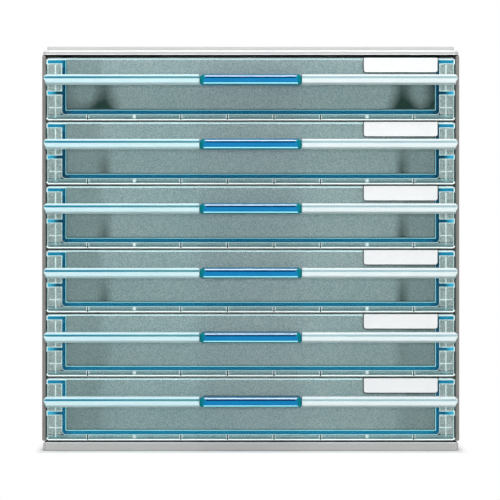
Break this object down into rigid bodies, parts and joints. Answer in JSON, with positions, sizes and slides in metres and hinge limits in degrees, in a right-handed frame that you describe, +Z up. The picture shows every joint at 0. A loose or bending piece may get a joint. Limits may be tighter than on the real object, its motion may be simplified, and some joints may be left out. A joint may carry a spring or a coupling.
{
  "type": "desktop drawer unit",
  "caption": "Desktop drawer box for papers: grey plastic casing with a stack of clear blue sliding drawers, each with a full-width pull ledge, a blue finger grip and a label.",
  "frame": {"origin": "bottom centre of the whole unit's box, on the desk", "axes": "+Z up, -Y out of the drawer fronts, +X to the right seen from the front"},
  "size_m": [0.286, 0.3644, 0.2768],
  "materials": {
    "casing_grey": "satin moulded plastic",
    "clear_blue": "clear tinted plastic",
    "grip_blue": "glossy moulded plastic",
    "label_paper": "uncoated card"
  },
  "bodies": {
    "casing": {"base": "casing_grey", "left_side": "casing_grey", "right_side": "casing_grey", "back_panel": "casing_grey", "top_cover": "casing_grey"},
    "drawer_1": {"drawer_1_tray": "clear_blue", "drawer_1_grip": "grip_blue", "drawer_1_label": "label_paper"},
    "drawer_2": {"drawer_2_tray": "clear_blue", "drawer_2_grip": "grip_blue", "drawer_2_label": "label_paper"},
    "drawer_3": {"drawer_3_tray": "clear_blue", "drawer_3_grip": "grip_blue", "drawer_3_label": "label_paper"},
    "drawer_4": {"drawer_4_tray": "clear_blue", "drawer_4_grip": "grip_blue", "drawer_4_label": "label_paper"},
    "drawer_5": {"drawer_5_tray": "clear_blue", "drawer_5_grip": "grip_blue", "drawer_5_label": "label_paper"},
    "drawer_6": {"drawer_6_tray": "clear_blue", "drawer_6_grip": "grip_blue", "drawer_6_label": "label_paper"}
  },
  "joints": [
    {"name": "drawer_1_slide", "type": "slide", "parent": "casing", "child": "drawer_1", "axis": [0, -1, 0], "range_m": [0, 0.24]},
    {"name": "drawer_2_slide", "type": "slide", "parent": "casing", "child": "drawer_2", "axis": [0, -1, 0], "range_m": [0, 0.24]},
    {"name": "drawer_3_slide", "type": "slide", "parent": "casing", "child": "drawer_3", "axis": [0, -1, 0], "range_m": [0, 0.24]},
    {"name": "drawer_4_slide", "type": "slide", "parent": "casing", "child": "drawer_4", "axis": [0, -1, 0], "range_m": [0, 0.24]},
    {"name": "drawer_5_slide", "type": "slide", "parent": "casing", "child": "drawer_5", "axis": [0, -1, 0], "range_m": [0, 0.24]},
    {"name": "drawer_6_slide", "type": "slide", "parent": "casing", "child": "drawer_6", "axis": [0, -1, 0], "range_m": [0, 0.24]}
  ]
}
